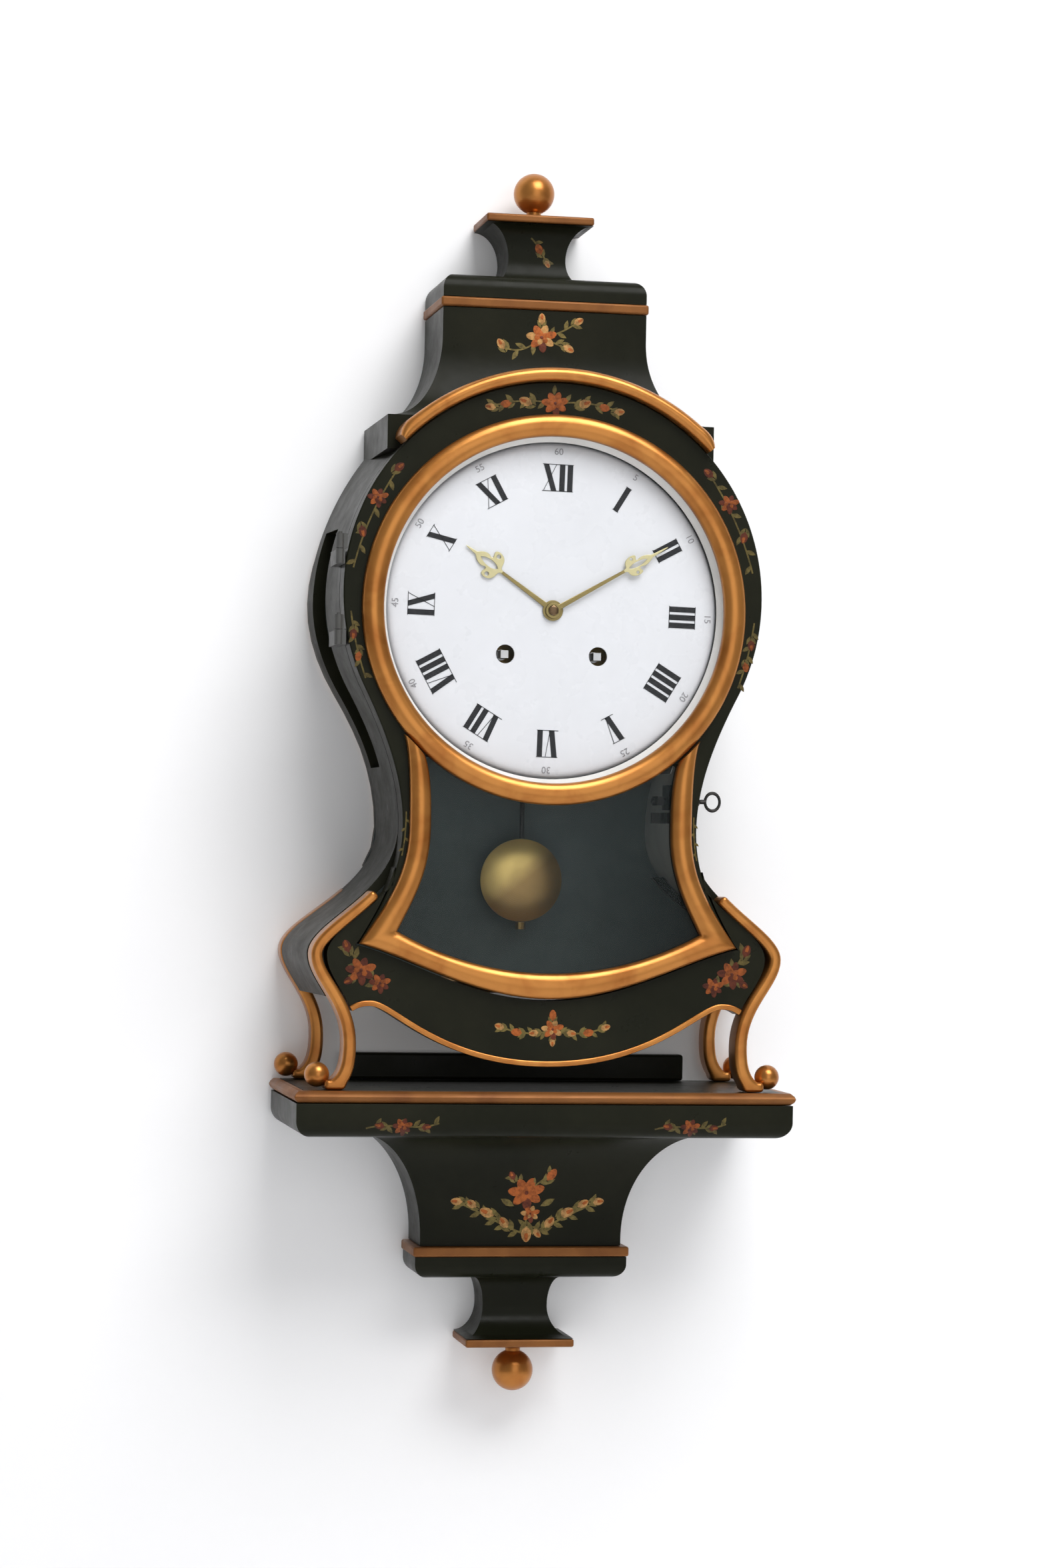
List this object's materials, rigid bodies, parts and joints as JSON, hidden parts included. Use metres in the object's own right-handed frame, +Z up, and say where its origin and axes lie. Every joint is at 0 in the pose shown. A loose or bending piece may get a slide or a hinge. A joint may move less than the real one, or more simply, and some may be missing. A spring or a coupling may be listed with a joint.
{
  "type": "bracket clock",
  "caption": "Waisted bracket clock in dark lacquer with gilt mouldings, round white dial, pendulum window and scroll feet, on its own wall bracket.",
  "frame": {"origin": "on the wall plane behind the middle of the bracket's back", "axes": "+X right, +Y into the wall, +Z up"},
  "size_m": [0.279, 0.112, 0.6932],
  "materials": {
    "lacquer": "glossy green-black lacquer on limewood, painted with flower sprays",
    "gilt": "bronze-gold gilding on turned and carved wood",
    "pine": "stained, unpolished",
    "glass": "clear",
    "enamel": "white vitreous enamel on copper",
    "hand_gilt": "gilt, pierced",
    "steel": "dark",
    "brass": "polished"
  },
  "bodies": {
    "case": {"bracket_shelf": "lacquer", "shelf_bead": "gilt", "bracket_body": "lacquer", "bracket_line": "gilt", "bracket_block": "lacquer", "pendant_neck": "lacquer", "pendant_cap": "gilt", "pendant_ball": "gilt", "back_board": "lacquer", "left_side": "lacquer", "right_side": "lacquer", "base_board": "pine", "seat_board": "pine", "front_apron": "lacquer", "rear_rail": "lacquer", "roof_tower": "lacquer", "crown_line": "gilt", "crown_block": "lacquer", "crown_cap": "gilt", "crown_ball": "gilt", "front_left_leg": "gilt", "front_right_leg": "gilt", "back_left_leg": "gilt", "back_right_leg": "gilt", "upper_case_hinge": "brass", "lower_case_hinge": "brass", "lock_box": "brass", "dial": "enamel", "front_plate": "brass", "back_plate": "brass", "back_cock": "brass", "bell": "brass"},
    "door": {"door_frame": "lacquer", "dial_bezel": "gilt", "window_moulding": "gilt", "arch_moulding": "gilt", "dial_glass": "glass", "window_glass": "glass", "upper_door_hinge": "brass", "lower_door_hinge": "brass", "door_catch": "brass"},
    "key": {"key": "steel", "lock_bolt": "steel"},
    "minute_work": {"minute_hand": "hand_gilt", "hand_nut": "hand_gilt", "cannon_pinion": "steel", "centre_arbor": "steel"},
    "hour_work": {"hour_hand": "hand_gilt", "hour_wheel": "brass"},
    "minute_wheel": {"minute_wheel": "brass"},
    "going_barrel": {"going_barrel": "brass"},
    "strike_barrel": {"strike_barrel": "brass"},
    "going_winding": {"going_winding_arbor": "steel"},
    "strike_winding": {"strike_winding_arbor": "steel"},
    "escape_wheel": {"escape_wheel": "brass"},
    "anchor": {"anchor": "steel"},
    "pendulum": {"pendulum_rod": "steel", "pendulum_bob": "brass", "rating_nut": "brass"},
    "hammer": {"hammer": "steel"}
  },
  "joints": [
    {"name": "door_swing", "type": "hinge", "parent": "case", "child": "door", "pos_m": [-0.1195, -0.104, 0.333], "axis": [0, 0, -1], "range_deg": [0, 100]},
    {"name": "key_turn", "type": "hinge", "parent": "case", "child": "key", "pos_m": [0, -0.075, 0.222], "axis": [1, 0, 0], "range_deg": [0, 90]},
    {"name": "minute_turn", "type": "hinge", "parent": "case", "child": "minute_work", "pos_m": [0, -0.09, 0.325], "axis": [0, -1, 0], "continuous": true},
    {"name": "hour_turn", "type": "hinge", "parent": "case", "child": "hour_work", "pos_m": [0, -0.09, 0.325], "axis": [0, -1, 0], "continuous": true},
    {"name": "minute_wheel_turn", "type": "hinge", "parent": "case", "child": "minute_wheel", "pos_m": [0, -0.075, 0.3442], "axis": [0, -1, 0], "continuous": true},
    {"name": "going_barrel_turn", "type": "hinge", "parent": "case", "child": "going_barrel", "pos_m": [0.026, -0.05, 0.3005], "axis": [0, -1, 0], "continuous": true},
    {"name": "strike_barrel_turn", "type": "hinge", "parent": "case", "child": "strike_barrel", "pos_m": [-0.026, -0.05, 0.3005], "axis": [0, -1, 0], "continuous": true},
    {"name": "going_wind", "type": "hinge", "parent": "case", "child": "going_winding", "pos_m": [0.026, -0.05, 0.3005], "axis": [0, -1, 0], "continuous": true},
    {"name": "strike_wind", "type": "hinge", "parent": "case", "child": "strike_winding", "pos_m": [-0.026, -0.05, 0.3005], "axis": [0, -1, 0], "continuous": true},
    {"name": "escape_turn", "type": "hinge", "parent": "case", "child": "escape_wheel", "pos_m": [0, -0.044, 0.343], "axis": [0, -1, 0], "continuous": true},
    {"name": "pendulum_swing", "type": "hinge", "parent": "case", "child": "pendulum", "pos_m": [0, -0.021, 0.359], "axis": [0, -1, 0], "range_deg": [-4, 4]},
    {"name": "anchor_rock", "type": "hinge", "parent": "case", "child": "anchor", "pos_m": [0, -0.044, 0.359], "axis": [0, -1, 0], "range_deg": [-4, 4]},
    {"name": "hammer_swing", "type": "hinge", "parent": "case", "child": "hammer", "pos_m": [0.00297, -0.04, 0.429], "axis": [0, -1, 0], "range_deg": [0, 10]}
  ],
  "couplings": [
    {"joint": "minute_turn", "follows": "going_barrel_turn", "ratio": -5},
    {"joint": "hour_turn", "follows": "going_barrel_turn", "ratio": -0.41667},
    {"joint": "minute_wheel_turn", "follows": "going_barrel_turn", "ratio": 1.6667},
    {"joint": "anchor_rock", "follows": "pendulum_swing", "ratio": 1}
  ]
}
